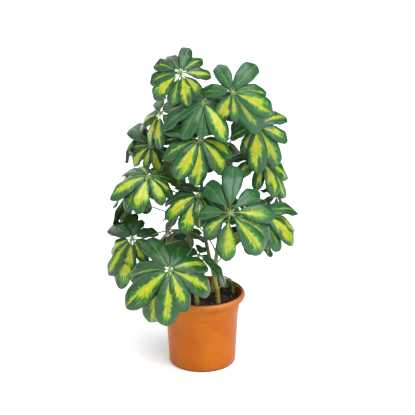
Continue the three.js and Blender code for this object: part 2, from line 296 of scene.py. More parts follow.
def noise_value(place, scale, detail, rough):
    inputs = {"Vector": place, "Scale": scale, "Detail": detail, "Roughness": rough}
    return add(place.id_data, "ShaderNodeTexNoise", inputs).outputs[0]


def group(name, kind, inputs, outputs):
    """A node group with named sockets, and its input and output nodes. An input is given by its default, or
    by its type where it has none."""
    tree = bpy.data.node_groups.new(name, kind)
    for key, value in inputs.items():
        socket = value if isinstance(value, str) else type(value).__name__.capitalize()
        made = tree.interface.new_socket(key, in_out="INPUT", socket_type="NodeSocket" + socket)
        if socket != value:
            made.default_value = value
    for key, socket in outputs.items():
        tree.interface.new_socket(key, in_out="OUTPUT", socket_type="NodeSocket" + socket)
    return tree, tree.nodes.new("NodeGroupInput").outputs, tree.nodes.new("NodeGroupOutput").inputs


def use(tree, made, inputs):
    """The outputs of a shader node group that is placed in a tree."""
    return add(tree, "ShaderNodeGroup", inputs, node_tree=made).outputs


def own_place(tree):
    """The object's own coordinates."""
    return add(tree, "ShaderNodeTexCoord").outputs["Object"]


def mottling(tree, grain, size, fineness, upright=None):
    """The outputs of the mottling group, drawn out along the upright where upright is a small share."""
    place = own_place(tree)
    if upright:
        place = vector("MULTIPLY", place, (1.0, 1.0, upright))
    return use(tree, grain, {"Place": place, "Size": size, "Fineness": fineness})


def material(name, rough, **sockets):
    """A new material, its node tree and the inputs of its Principled shader, with constants set on these."""
    made = bpy.data.materials.new(name)
    made.use_nodes = True
    tree = made.node_tree
    shader = tree.nodes["Principled BSDF"]
    shader.inputs["Roughness"].default_value = rough
    for key, value in sockets.items():
        shader.inputs[key.replace("_", " ")].default_value = value
    return made, tree, shader.inputs


def bump(shader, height, distance, strength):
    inputs = {"Height": height, "Distance": distance, "Strength": strength}
    feed(shader["Normal"], add(height.id_data, "ShaderNodeBump", inputs).outputs[0])


def attribute(tree, name):
    """The outputs of a stored attribute, read in a material."""
    return add(tree, "ShaderNodeAttribute", attribute_name=name, attribute_type="GEOMETRY").outputs


def field(tree, name, kind="FLOAT"):
    """A stored attribute, read in a geometry tree."""
    return build(tree, "InputNamedAttribute", {"Name": name}, data_type=kind)


def over(tree, name, least=0.5):
    """Whether a stored attribute is over this value."""
    return calc("GREATER_THAN", field(tree, name), least)


def build(tree, kind, inputs=None, **settings):
    """The first output of a new geometry node."""
    return add(tree, "GeometryNode" + kind, inputs, **settings).outputs[0]


def mark(geometry, name, value, kind="FLOAT", domain="POINT", selection=True):
    """Geometry with a stored attribute."""
    inputs = {"Geometry": geometry, "Name": name, "Value": value, "Selection": selection}
    return build(geometry.id_data, "StoreNamedAttribute", inputs, data_type=kind, domain=domain)


def join(*parts):
    node = add(tree_of(*parts), "GeometryNodeJoinGeometry")
    for part in parts:
        feed(node.inputs[0], part)
    return node.outputs[0]


def realize(geometry):
    return build(geometry.id_data, "RealizeInstances", {"Geometry": geometry})


def coat(geometry, finish, selection=True):
    inputs = {"Geometry": geometry, "Material": finish, "Selection": selection}
    return build(geometry.id_data, "SetMaterial", inputs)


def rods_along(lines, sides):
    """Round rods along the edges of a mesh, with the radius that each point carries."""
    tree = lines.id_data
    radius = field(tree, "radius")
    curves = build(tree, "MeshToCurve", {"Mesh": lines})
    curves = build(tree, "SetCurveRadius", {"Curve": curves, "Radius": radius})
    circle = build(tree, "CurvePrimitiveCircle", {"Resolution": sides, "Radius": 1.0})
    rods = add(tree, "GeometryNodeCurveToMesh", {"Curve": curves, "Profile Curve": circle, "Fill Caps": True})
    if "Scale" in rods.inputs:
        feed(rods.inputs["Scale"], radius)
    return rods.outputs[0]


# Finishes

def grain_group():
    """Two sizes of mottling on an object's own coordinates, as masks and as a height."""
    tree, given, result = group("fine mottling", "ShaderNodeTree",
                                {"Place": "Vector", "Size": 20.0, "Fineness": 8.0},
                                {"Broad": "Float", "Fine": "Float", "Height": "Float"})
    broad = noise_value(given["Place"], given["Size"], 4.0, 0.6)
    fine = noise_value(given["Place"], times(given["Size"], given["Fineness"]), 3.0, 0.6)
    feed(result["Broad"], ramp(broad, 0.35, 0.65))
    feed(result["Fine"], ramp(fine, 0.35, 0.65))
    feed(result["Height"], plus(times(broad, 0.6), times(fine, 0.4)))
    return tree


def leaf_pattern_group():
    """The greens and the yellow of a blade. Flat is the place on the flattened blade in metres, from its base
    and its midrib, and Share is the same in shares of its length and half width. The yellow starts at the
    base, widens along the midrib by its own amount in each half of the blade, and ends in ragged teeth before
    the tip. A wider zone of mid green lies round it, with dark green outside."""
    inputs = {"Flat": "Vector", "Share": "Vector", "Yellow": 0.5, "Phase": 0.0, "Shade": 0.5}
    outputs = {"Colour": "Color", "Height": "Float"}
    tree, given, result = group("leaf pattern", "ShaderNodeTree", inputs, outputs)
    x, y, _ = split(given["Flat"])
    along, side, _ = split(given["Share"])
    off = size_of(y)
    rim = size_of(side)
    half = calc("GREATER_THAN", side, 0.0)
    seed = plus(times(given["Phase"], 61.0), times(half, 7.3))
    vein = minus(times(x, 100.0), times(off, 80.0))

    def drawn(shift, low, high):
        """A value of its own for each half of each blade."""
        node = add(tree, "ShaderNodeTexWhiteNoise", {"W": plus(seed, shift)}, noise_dimensions="1D")
        return ramp(node.outputs["Value"], 0.0, 1.0, low, high, smooth=False)

    def streaks(along_veins, across_veins, shift, size):
        """Noise from -size to size, in features that are long along the side veins."""
        place = combine(times(vein, along_veins), plus(seed, shift), times(off, across_veins))
        return ramp(noise_value(place, 1.0, 3.0, 0.6), 0.28, 0.72, -size, size, smooth=False)

    def teeth(shift, size):
        """Noise from -size to size, in features that are long along the blade."""
        place = combine(times(off, 330.0), plus(seed, shift), times(x, 25.0))
        return ramp(noise_value(place, 1.0, 2.0, 0.55), 0.3, 0.7, -size, size, smooth=False)

    def cloud(size, detail):
        """Soft noise over the flattened blade."""
        return noise_value(vector("SCALE", given["Flat"], size), 1.0, detail, 0.5)

    # How deep inside the yellow a place lies, which is spare across the blade and left towards the tip.
    amount = times(given["Yellow"], drawn(1.7, 0.07, 0.94))
    wedge = times(amount, ramp(along, -0.12, 0.45, smooth=False))
    ragged = plus(streaks(0.9, 25.0, 3.1, 0.6), streaks(2.6, 60.0, 9.7, 0.5))
    ragged = times(ragged, ramp(along, 0.05, 0.65, 0.22, 0.66))
    reach = times(wedge, plus(ragged, 1.0))
    reach = calc("MAXIMUM", reach, times(wedge, 0.5))
    spare = minus(reach, rim)
    stop = plus(drawn(5.9, 0.62, 0.95), teeth(2.3, 0.10), times(rim, -0.10))
    left = times(minus(stop, along), 1.6)
    depth = calc("MINIMUM", spare, left)
    yellow = times(ramp(depth, 0.0, 0.035), ramp(given["Yellow"], 0.06, 0.16))
    holes = calc("GREATER_THAN", streaks(3.4, 240.0, 15.1, 1.0), minus(1.25, along))
    holes = times(holes, ramp(rim, 0.16, 0.22))
    yellow = times(yellow, minus(1.0, holes))
    beyond = plus(spare, times(given["Yellow"], 0.20), streaks(1.5, 90.0, 21.0, 0.26))
    later = plus(left, 0.17, teeth(31.0, 0.16))
    mid = ramp(calc("MINIMUM", beyond, later), 0.0, 0.09)

    patches = cloud(90.0, 3.0)
    # Shade carries painted sheen and painted shade as well as each leaf's own tint: it takes the dark green
    # from a darker olive to a brighter blue-green.
    dark = mix(given["Shade"], (0.006, 0.024, 0.001), (0.010, 0.080, 0.029))
    dark = mix(ramp(patches, 0.3, 0.7, 0.0, 0.5), dark, (0.018, 0.082, 0.006))
    green = mix(ramp(patches, 0.35, 0.65), (0.016, 0.150, 0.004), (0.070, 0.260, 0.008))
    gold = mix(ramp(patches, 0.35, 0.7), (0.265, 0.290, 0.005), (0.370, 0.370, 0.010))
    colour = mix(times(mid, 0.92), dark, green)
    ripe = ramp(cloud(40.0, 2.0), 0.48, 0.66)
    gold = mix(times(ripe, 0.35), gold, (0.400, 0.300, 0.014))
    gold = mix(ramp(depth, 0.03, 0.16, 0.7, 0.0), gold, (0.230, 0.350, 0.008))
    colour = mix(yellow, colour, gold)

    # The midrib and the side veins, paler and sunk.
    rib = times(ramp(off, 0.0002, 0.0008, 1.0, 0.0), ramp(along, 0.5, 1.0, 0.55, 0.0))
    colour = mix(times(rib, 0.4), colour, (0.090, 0.180, 0.035))
    lines = calc("PINGPONG", times(vein, 1.2), 0.5)
    lines = times(ramp(lines, 0.0, 0.1, 1.0, 0.0), ramp(rim, 0.1, 0.95, 0.5, 0.0))
    colour = mix(times(lines, 0.32), colour, (0.080, 0.170, 0.035))
    feed(result["Colour"], colour)
    feed(result["Height"], minus(times(patches, 0.3), plus(lines, rib)))
    return tree


def leaf_material(pattern, grain):
    """Glossy variegated blades with a duller, paler underside."""
    made, tree, shader = material("variegated leaf", 0.36, Specular_IOR_Level=0.36, Coat_Weight=0.16,
                                  Coat_Roughness=0.22)
    inputs = {name.capitalize(): attribute(tree, name)["Vector"] for name in ("flat", "share")}
    inputs |= {name.capitalize(): attribute(tree, name)["Fac"] for name in ("yellow", "phase", "shade")}
    leaf = use(tree, pattern, inputs)
    under = attribute(tree, "under")["Fac"]
    back = mix(0.6, leaf["Colour"], (0.032, 0.068, 0.010))
    feed(shader["Base Color"], mix(under, leaf["Colour"], back))
    mottle = mottling(tree, grain, 60.0, 6.0)
    rough = plus(times(mottle["Broad"], 0.12), 0.30, times(under, 0.25))
    feed(shader["Roughness"], rough)
    bump(shader, plus(leaf["Height"], times(mottle["Fine"], 0.15)), 0.00035, 0.6)
    return made


def bark_material(grain):
    """Green-brown bark, paler and yellower near the soil, with pale corky flecks and darker leaf scars."""
    made, tree, shader = material("green bark", 0.62)
    place = own_place(tree)
    _, _, z = split(place)
    mottle = mottling(tree, grain, 110.0, 5.0, 0.25)
    young = mix(mottle["Broad"], (0.062, 0.085, 0.020), (0.105, 0.115, 0.032))
    old = mix(mottle["Broad"], (0.420, 0.380, 0.090), (0.260, 0.205, 0.065))
    colour = mix(ramp(z, 0.17, 0.33), old, young)
    fleck = times(ramp(noise_value(place, 650.0, 1.0, 0.5), 0.66, 0.72), 0.5)
    colour = mix(fleck, colour, (0.36, 0.33, 0.20))
    scar = times(attribute(tree, "scar")["Fac"], 0.65)
    feed(shader["Base Color"], mix(scar, colour, (0.070, 0.050, 0.025)))
    feed(shader["Roughness"], plus(times(mottle["Fine"], 0.2), 0.5))
    bump(shader, mottle["Height"], 0.0012, 0.8)
    return made


def pot_material(grain):
    """Moulded orange plastic: slightly uneven in colour, with fine vertical drag lines, scuffs low down, soil
    dust and painted shade inside, painted shade in its two grooves, a painted contact shadow darkening the
    edge round the foot and a painted highlight as a paler band along the rim."""
    made, tree, shader = material("orange plastic", 0.38, Specular_IOR_Level=0.14)
    place = own_place(tree)
    x, y, z = split(place)
    mottle = mottling(tree, grain, 14.0, 30.0)
    flow = mottling(tree, grain, 150.0, 3.0, 0.06)
    colour = mix(mottle["Broad"], (0.360, 0.076, 0.001), (0.402, 0.103, 0.0015))
    colour = mix(times(flow["Broad"], 0.08), colour, (0.48, 0.13, 0.012))
    scuff = times(ramp(noise_value(place, 90.0, 5.0, 0.7), 0.60, 0.72), ramp(z, 0.0, 0.05, 0.5, 0.08))
    colour = mix(scuff, colour, (0.62, 0.32, 0.14))
    radius = calc("SQRT", plus(times(x, x), times(y, y)))
    wall = minus(radius, plus(times(z, INNER_SLOPE), INNER_RADIUS))
    # Soil dust and painted shade darken the inner wall below the rim.
    inside = times(ramp(wall, 0.0, 0.0012, 1.0, 0.0), ramp(z, 0.166, 0.180, 1.0, 0.0))
    dust_and_shade = times(inside, ramp(mottle["Height"], 0.35, 0.65, 0.45, 0.95))
    colour = mix(dust_and_shade, colour, (0.110, 0.030, 0.012))
    # Painted contact shadow: the rounded edge of the foot darkens towards the floor.
    colour = mix(ramp(z, 0.0015, 0.0058, 0.92, 0.0), colour, (0.020, 0.012, 0.008))
    # Painted shade darkens the crease under the rim and the shoulder groove on the outside.
    for height, width, share in GROOVES:
        away = size_of(minus(z, height))
        groove_shade = times(ramp(away, 0.0, width, share, 0.0), ramp(wall, 0.001, 0.0025))
        colour = mix(groove_shade, colour, (0.170, 0.024, 0.001))
    # Painted highlight: a paler band along the top of the rim.
    rim_highlight = times(ramp(z, 0.172, 0.180), ramp(radius, 0.0945, 0.098), 0.7)
    feed(shader["Base Color"], mix(rim_highlight, colour, (0.56, 0.22, 0.070)))
    rough = plus(times(mottle["Broad"], 0.10), 0.33, times(plus(scuff, dust_and_shade), 0.4))
    feed(shader["Roughness"], rough)
    height = plus(times(mottle["Fine"], 0.35), times(flow["Fine"], 0.3))
    bump(shader, height, 0.00025, 0.35)
    return made


def mottled_material(name, grain, rough, mottles, colours, relief, flecks=0.0):
    """A material mottled between two colours. mottles gives the size and fineness, and relief the depth and
    strength of its bump. A third colour shows in the finer mottles, in the share flecks."""
    made, tree, shader = material(name, rough)
    mottle = mottling(tree, grain, *mottles)
    colour = mix(mottle["Broad"], *colours[:2])
    if flecks:
        colour = mix(times(mottle["Fine"], flecks), colour, colours[2])
    feed(shader["Base Color"], colour)
    bump(shader, mottle["Height"], *relief)
    return made


# Helpers for meshes

def mesh_object(name, points, edges=(), faces=()):
    mesh = bpy.data.meshes.new(name)
    mesh.from_pydata([tuple(map(float, p)) for p in points], list(edges), list(faces))
    made = bpy.data.objects.new(name, mesh)
    bpy.context.scene.collection.objects.link(made)
    return made


def store(made, name, kind, values):
    """A point attribute. kind is FLOAT, INT or FLOAT_VECTOR."""
    layer = made.data.attributes.new(name, kind, "POINT")
    key = "vector" if kind == "FLOAT_VECTOR" else "value"
    layer.data.foreach_set(key, np.asarray(values, dtype=np.int32 if kind == "INT" else np.float32).ravel())


def dress(made, tree, values):
    """Runs a geometry tree on an object with these input values, and keeps the result as its plain mesh."""
    modifier = made.modifiers.new(tree.name, "NODES")
    modifier.node_group = tree
    for item in tree.interface.items_tree:
        if item.item_type == "SOCKET" and item.in_out == "INPUT" and item.name in values:
            modifier[item.identifier] = values[item.name]
    settle(made)


def settle(made):
    """The object with its modifiers applied, as a plain mesh."""
    graph = bpy.context.evaluated_depsgraph_get()
    done = made.evaluated_get(graph)
    mesh = bpy.data.meshes.new_from_object(done, preserve_all_data_layers=True, depsgraph=graph)
    made.modifiers.clear()
    made.data = mesh
    mesh.name = made.name


def place_piece(made, node):
    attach(made, "root")
    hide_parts(node)


def smooth(made):
    made.data.polygons.foreach_set("use_smooth", [True] * len(made.data.polygons))


def ring_points(radius, height, sides, centre=(0.0, 0.0)):
    """Points round a level circle."""
    turns = [2 * math.pi * i / sides for i in range(sides)]
    return [(centre[0] + radius * math.cos(a), centre[1] + radius * math.sin(a), height) for a in turns]


def band(low, high, sides):
    """Faces between two rings of points, from the number of the first point of each."""
    return [(low + i, low + (i + 1) % sides, high + (i + 1) % sides, high + i) for i in range(sides)]


# The plant's form, as in the solids

def random_from(seed):
    """Random numbers from 0 to 1, the same as the solids' own draws."""
    state = seed * 7919 + 17
    while True:
        state = state * 48271 % 2147483647
        yield state / 2147483647


def curve_point(points, share):
    """A point of the centripetal curve through these points."""
    count = len(points)
    place = (count - 1) * share
    i = min(int(place), count - 2)
    w = place - i
    p1, p2 = points[i], points[i + 1]
    p0 = points[i - 1] if i > 0 else 2 * points[0] - points[1]
    p3 = points[i + 2] if i + 2 < count else 2 * points[-1] - points[-2]
    d0, d1, d2 = (math.sqrt(np.linalg.norm(b - a)) for a, b in ((p0, p1), (p1, p2), (p2, p3)))
    t1 = ((p1 - p0) / d0 - (p2 - p0) / (d0 + d1) + (p2 - p1) / d1) * d1
    t2 = ((p2 - p1) / d1 - (p3 - p1) / (d1 + d2) + (p3 - p2) / d2) * d1
    return p1 + t1 * w + (-3 * p1 + 3 * p2 - 2 * t1 - t2) * w ** 2 + (2 * p1 - 2 * p2 + t1 + t2) * w ** 3


def stem_samples(name, count=400):
    points = [np.array(p, float) for p in STEMS[name]]
    return np.array([curve_point(points, i / count) for i in range(count + 1)])


def stem_point(name, height):
    samples = stem_samples(name)
    above = samples[samples[:, 2] >= height]
    return above[0] if len(above) else samples[-1]


def unit(v):
    return v / np.linalg.norm(v)


def umbrella_frame(leaf):
    """A leaf's axis, the way downhill across it, and the way round it."""
    face, lean = math.radians(leaf.face), math.radians(leaf.lean)
    flat = np.array([math.cos(face), math.sin(face), 0.0])
    axis = flat * math.sin(lean) + UP * math.cos(lean)
    down = flat * math.cos(lean) - UP * math.sin(lean)
    return axis, down, np.cross(axis, down)


def blades(leaf):
    """The blades of a leaf, with the solids' small differences in the way that they hang."""
    draw = random_from(leaf.foot)

    def spread(size):
        return math.radians(size) * (2 * next(draw) - 1)

    made = []
    for i, (turn, length) in enumerate(leaf.fan):
        layer = math.radians(LAYER_DROOP if i % 2 else -LAYER_DROOP)
        made.append({
            "turn": math.radians(turn),
            "length": length,
            "reach": length + BLADELET_STALK,
            "droop_at_hub": math.radians(DROOP_AT_HUB) + layer,
            "droop_at_tip": math.radians(DROOP_AT_TIP) + layer + spread(6),
            "roll": spread(10),
            "sway": spread(8),
        })
    return made


def rib(leaf, blade):
    """Places from the hub to the blade's tip, with the way across and out of the blade at each."""
    axis, down, around = umbrella_frame(leaf)
    here = np.array(leaf.hub, float)
    places, sides, outs = [], [], []
    for i in range(RIB_STEPS + 1):
        share = i / RIB_STEPS
        turn = blade["turn"] + blade["sway"] * share
        droop = blade["droop_at_hub"] + (blade["droop_at_tip"] - blade["droop_at_hub"]) * share ** 1.3
        outward = down * math.cos(turn) + around * math.sin(turn)
        along = unit(outward * math.cos(droop) - axis * math.sin(droop) - UP * GRAVITY * share)
        across = np.cross(axis, outward)
        across = unit(across - along * (across @ along))
        out = np.cross(along, across)
        rolled = across * math.cos(blade["roll"]) + out * math.sin(blade["roll"])
        places.append(here.copy())
        sides.append(rolled)
        outs.append(np.cross(along, rolled))
        here = here + along * blade["reach"] / RIB_STEPS
    return np.array(places), np.array(sides), np.array(outs)


def stalk_line(leaf, foot, steps=28):
    """The leaf stalk's centre line and radii. It rises from the stem and arches over to its hub."""
    hub = np.array(leaf.hub, float)
    across = (hub - foot) * [1, 1, 0]
    span = np.linalg.norm(hub - foot)
    rise = math.radians(STALK_RISE)
    leaving = unit(across) * math.cos(rise) + UP * math.sin(rise)
    axis, _, _ = umbrella_frame(leaf)
    controls = [foot, foot + leaving * 0.4 * span, hub - axis * 0.35 * span, hub]
    shares = np.linspace(0, 1, steps)[:, None]
    line = sum(math.comb(3, i) * (1 - shares) ** (3 - i) * shares ** i * controls[i] for i in range(4))
    radii = np.maximum(STALK_RADIUS, STALK_FOOT_RADIUS * (1 - 3 * shares[:, 0]))
    radii[-5:] += np.linspace(0, 0.6, 5)
    return line, radii


# Geometry trees

def leaf_tree():
    """A leaf on its ribs. The object's points are the blades' rib points, blade after blade, and then the
    lines of its rods. A grid for each blade is wrapped along its rib, with its outline, fold, waves and
    thickness."""
    tree, given, result = group("umbrella leaf on its ribs", "GeometryNodeTree", {
        "Ribs": "Geometry", "Rib Points": RIB_STEPS + 1, "Rows": 26, "Columns": 11,
        "Half Width": BLADE_HALF_WIDTH, "Blade Stalk": BLADELET_STALK * MM, "Thickness": 0.0006,
        "Taper": 0.64, "Bare Foot": 0.0, "Fold": 0.38, "Arch": 0.44, "Wave": 0.0021, "Groove": 0.0005,
        "Curl": 0.10, "Unevenness": 0.21, "Hub Radius": HUB_RADIUS * MM,
        "Blade Finish": "Material", "Stalk Finish": "Material"}, {"Leaf": "Geometry"})
    grid = build(tree, "MeshGrid", {"Vertices X": given["Rows"], "Vertices Y": given["Columns"]})
    here = build(tree, "InputPosition")
    x, y, _ = split(here)
    marked = mark(mark(grid, "row", plus(x, 0.5)), "column", times(y, 2.0))
    sown = build(tree, "InstanceOnPoints",
                 {"Points": given["Ribs"], "Selection": over(tree, "root"), "Instance": marked})
    sheets = realize(sown)

    # Where a point of the grid lies on its blade, with rows crowded to the tip and columns to the midrib.
    along = minus(1.0, power(minus(1.0, field(tree, "row")), 1.7))
    left = minus(1.0, along)
    column = field(tree, "column")
    half_of = calc("SIGN", column)
    side = times(half_of, power(size_of(column), 1.25))
    length = field(tree, "length")
    phase = field(tree, "phase")
    start = field(tree, "start")
    reach = plus(length, given["Blade Stalk"])
    share = calc("DIVIDE", plus(start, times(along, minus(reach, start))), reach)
    last = minus(given["Rib Points"], 1.0)
    place = calc("MINIMUM", times(share, last), minus(last, 0.0001))
    low = calc("FLOOR", place)
    between = minus(place, low)
    index = plus(times(field(tree, "blade", "INT"), given["Rib Points"]), low)

    def at_rib(value):
        """A value of the rib points, read between the two that a place lies between."""
        ends = [build(tree, "SampleIndex", {"Geometry": given["Ribs"], "Value": value, "Index": i},
                      data_type="FLOAT_VECTOR") for i in (index, plus(index, 1.0))]
        return vector("ADD", vector("SCALE", ends[0], minus(1.0, between)), vector("SCALE", ends[1], between))

    centre = at_rib(here)
    across = at_rib(field(tree, "across", "FLOAT_VECTOR"))
    out = at_rib(field(tree, "out", "FLOAT_VECTOR"))

    # The outline, slightly uneven, and how far the point lies across and out of the blade.
    above = calc("MAXIMUM", minus(along, given["Bare Foot"]), 0.0)
    above = calc("DIVIDE", above, minus(WIDEST_AT, given["Bare Foot"]))
    tip = power(calc("DIVIDE", left, 1 - WIDEST_AT), TIP_BLUNTNESS)
    outline = times(power(above, given["Taper"]), tip)
    edge = combine(times(along, 3.4), times(phase, 37.0), half_of)
    uneven = minus(noise_value(edge, 1.0, 2.0, 0.5), 0.5)
    half = times(length, given["Half Width"], outline, plus(1.0, times(uneven, given["Unevenness"])))
    half = calc("MAXIMUM", half, times(left, LEAST_HALF))
    offset = times(side, half)
    rim = size_of(side)
    square = times(rim, rim)
    wave = plus(times(along, 15.0), plus(times(phase, 40.0), times(side, 0.9)))
    ripple = times(calc("SINE", wave), square, times(given["Wave"], ramp(along, 0.05, 0.4)))
    own_fold = plus(0.35, times(0.85, calc("FRACT", times(phase, 7.3))))
    curve = minus(times(rim, times(given["Fold"], own_fold)), times(square, given["Arch"]))
    furrow = times(given["Groove"], ramp(size_of(offset), 0.0, 0.0022, 1.0, 0.0))
    curl = times(minus(phase, 0.5), times(given["Curl"], length))
    lift = minus(plus(times(curve, half), ripple), furrow)
    lift = plus(lift, times(curl, power(along, 3.0)))
    moved = vector("ADD", vector("SCALE", across, offset), vector("SCALE", out, lift))
    moved = vector("ADD", centre, moved)
    flat = combine(times(along, length), offset, 0.0)
    sheets = mark(sheets, "flat", flat, "FLOAT_VECTOR")
    sheets = mark(sheets, "share", combine(along, side, 0.0), "FLOAT_VECTOR")
    sheets = build(tree, "SetPosition", {"Geometry": sheets, "Position": moved})

    # The underside, joined to the sheet along its edge.
    grown = add(tree, "GeometryNodeExtrudeMesh",
                {"Mesh": sheets, "Offset Scale": times(given["Thickness"], -1.0), "Individual": False},
                mode="FACES").outputs
    backs = mark(grown["Mesh"], "under", 1.0, domain="FACE", selection=grown["Top"])
    shell = join(build(tree, "FlipFaces", {"Mesh": backs}), sheets)
    shell = build(tree, "MergeByDistance", {"Geometry": shell, "Distance": 0.00001})

    ball = build(tree, "MeshUVSphere", {"Segments": 12, "Rings": 8, "Radius": given["Hub Radius"]})
    hub = build(tree, "InstanceOnPoints",
                {"Points": given["Ribs"], "Selection": over(tree, "hub"), "Instance": ball})
    stalks = mark(realize(join(rods_along(given["Ribs"], 8), hub)), "stalk", 1.0, domain="FACE")
    leaf = build(tree, "SetShadeSmooth", {"Geometry": realize(join(stalks, shell)), "Shade Smooth": True})
    leaf = coat(leaf, given["Blade Finish"])
    feed(result["Leaf"], coat(leaf, given["Stalk Finish"], over(tree, "stalk")))
    return tree


def bark_tree():
    """A rod along a line, with the radius that each point of the line carries, slightly lumpy."""
    tree, given, result = group("bark along a line", "GeometryNodeTree", {
        "Line": "Geometry", "Sides": 20, "Lump Size": 0.0006, "Lump Scale": 90.0, "Finish": "Material"},
        {"Stem": "Geometry"})
    rod = rods_along(given["Line"], given["Sides"])
    place = build(tree, "InputPosition")
    lump = minus(noise_value(place, given["Lump Scale"], 2.0, 0.5), 0.5)
    push = times(lump, times(given["Lump Size"], 2.0))
    push = vector("SCALE", build(tree, "InputNormal"), push)
    stem = build(tree, "SetPosition", {"Geometry": rod, "Offset": push})
    stem = build(tree, "SetShadeSmooth", {"Geometry": stem, "Shade Smooth": True})
    feed(result["Stem"], coat(realize(stem), given["Finish"]))
    return tree


def crumb_tree():
    """Soil with crumbs, bark chips and pale grains scattered over its top."""
    tree, given, result = group("crumbs on soil", "GeometryNodeTree", {
        "Soil": "Geometry", "Crumbs": 60000.0, "Chips": 9000.0, "Grains": 5500.0, "Seed": 7,
        "Soil Finish": "Material", "Chip Finish": "Material", "Grain Finish": "Material"},
        {"Bed": "Geometry"})
    _, _, z = split(build(tree, "InputPosition"))
    _, _, up = split(build(tree, "InputNormal"))
    top = times(calc("GREATER_THAN", z, 0.15), calc("GREATER_THAN", up, 0.5))
    parts = [given["Soil"]]
    # The least and the most radius of each kind, and its shape before it is turned.
    kinds = (("Crumbs", 0.0009, 0.0030, (1.0, 0.9, 0.7)), ("Chips", 0.0016, 0.0048, (1.0, 0.45, 0.28)),
             ("Grains", 0.0008, 0.0019, (1.0, 0.9, 0.85)))
    for kind, (name, least, most, shape) in enumerate(kinds):
        seed = plus(given["Seed"], float(kind))
        points = build(tree, "DistributePointsOnFaces",
                       {"Mesh": given["Soil"], "Selection": top, "Density": given[name], "Seed": seed})
        lump = build(tree, "MeshIcoSphere", {"Radius": 1.0, "Subdivisions": 1})
        inputs = {"Vector": build(tree, "InputPosition"), "Scale": 1.7 + kind, "Detail": 1.0}
        rough = add(tree, "ShaderNodeTexNoise", inputs).outputs["Color"]
        rough = vector("SUBTRACT", rough, (0.5, 0.5, 0.5))
        lump = build(tree, "SetPosition", {"Geometry": lump, "Offset": rough})
        lump = build(tree, "Transform", {"Geometry": lump, "Scale": shape})
        inputs = {0: (0.0, 0.0, 0.0), 1: (6.28, 6.28, 6.28), "Seed": 3 + kind}
        turn = add(tree, "FunctionNodeRandomValue", inputs, data_type="FLOAT_VECTOR").outputs[0]
        inputs = {2: least, 3: most, "Seed": 11 + kind}
        size = add(tree, "FunctionNodeRandomValue", inputs, data_type="FLOAT").outputs[1]
        sown = build(tree, "InstanceOnPoints",
                     {"Points": points, "Instance": lump, "Rotation": turn, "Scale": size})
        parts.append(mark(realize(sown), "kind", float(kind), domain="FACE"))
    bed = coat(realize(join(*parts)), given["Soil Finish"])
    bed = coat(bed, given["Chip Finish"], over(tree, "kind", 0.5))
    feed(result["Bed"], coat(bed, given["Grain Finish"], over(tree, "kind", 1.5)))
    return tree


# Pieces

# The pot's radius and height, from the middle of its underside up the outside and down the inside.
POT_PROFILE = [
    [0, 0], [40, 0], [41.2, 0.3], [43.0, 2.7], [44.2, 3], [65.8, 3], [67.0, 2.7], [68.4, 0.4], [69.4, 0],
    [76.2, 0], [78.6, 0.5], [80.5, 2.2], [81.5, 5], [82.6, 25], [83.8, 50], [85.5, 80], [87.1, 110],
    [88.3, 132.5], [88.5, 134.6], [88.9, 136.0], [89.9, 136.7], [90.4, 138.0], [91.2, 145], [92.2, 152.5],
    [93.3, 159.0], [94.1, 162.6], [94.8, 164.5], [96.0, 165.3], [99.6, 165.5], [102.2, 166.4], [104.2, 168.8],
    [105, 172.2], [104.7, 175.4], [103.3, 178.4], [101.3, 180.8], [99.2, 181.9], [97.2, 181.5], [95.4, 179.6],
    [94.3, 176.6], [93.4, 172.5], [92.5, 168], [90.0, 155], [86, 134], [82, 62], [79, 8], [77, 6], [0, 6],
]


def turned(name, profile, sides):
    """A closed turned mesh from a profile that starts and ends on the axis."""
    rings = profile[1:-1]
    points = [point for radius, height in rings for point in ring_points(radius, height, sides)]
    bottom, top = len(points), len(points) + 1
    points += [(0, 0, profile[0][1]), (0, 0, profile[-1][1])]
    last = (len(rings) - 1) * sides
    faces = [face for low in range(0, last, sides) for face in band(low, low + sides, sides)]
    for i in range(sides):
        j = (i + 1) % sides
        faces += [(bottom, j, i), (top, last + i, last + j)]
    return mesh_object(name, np.array(points) * MM, (), faces)


def drain_drill():
    """Upright rods where the drain holes go."""
    points, faces = [], []
    for i in range(DRAIN_HOLES):
        turn = 2 * math.pi * i / DRAIN_HOLES
        centre = (HOLE_PLACE * math.cos(turn), HOLE_PLACE * math.sin(turn))
        low = len(points)
        high = low + HOLE_SIDES
        for height in (-10, 12):
            points += ring_points(HOLE_RADIUS, height, HOLE_SIDES, centre)
        faces += [tuple(reversed(range(low, high))), tuple(range(high, high + HOLE_SIDES))]
        faces += band(low, high, HOLE_SIDES)
    return mesh_object("drain_drill", np.array(points) * MM, (), faces)


def make_pot(finish):
    pot = turned("plastic_pot", POT_PROFILE, POT_SIDES)
    drill = drain_drill()
    cut = pot.modifiers.new("drain holes", "BOOLEAN")
    cut.object = drill
    cut.operation = "DIFFERENCE"
    cut.solver = "EXACT"
    settle(pot)
    bpy.data.objects.remove(drill)
    pot.data.materials.append(finish)
    edges = pot.modifiers.new("edges", "EDGE_SPLIT")
    edges.split_angle = math.radians(50)
    settle(pot)
    smooth(pot)
    place_piece(pot, "pot")


def soil_height(x, y, inward):
    """The height of the lumpy soil, which mounds up slightly from the wall inward."""
    lumps = math.sin(x / 11) * math.cos(y / 13 + 1) + math.sin((x + 2 * y) / 23)
    broad = noise.noise(Vector((x / 6, y / 6, 3.1)))
    fine = noise.noise(Vector((x / 2.4, y / 2.4, 8.7)))
    mound = SOIL_LEVEL + SOIL_MOUND * math.sqrt(inward) + 1.6 * lumps * min(1, 4 * inward)
    return mound + (1.8 * broad + 0.9 * fine)


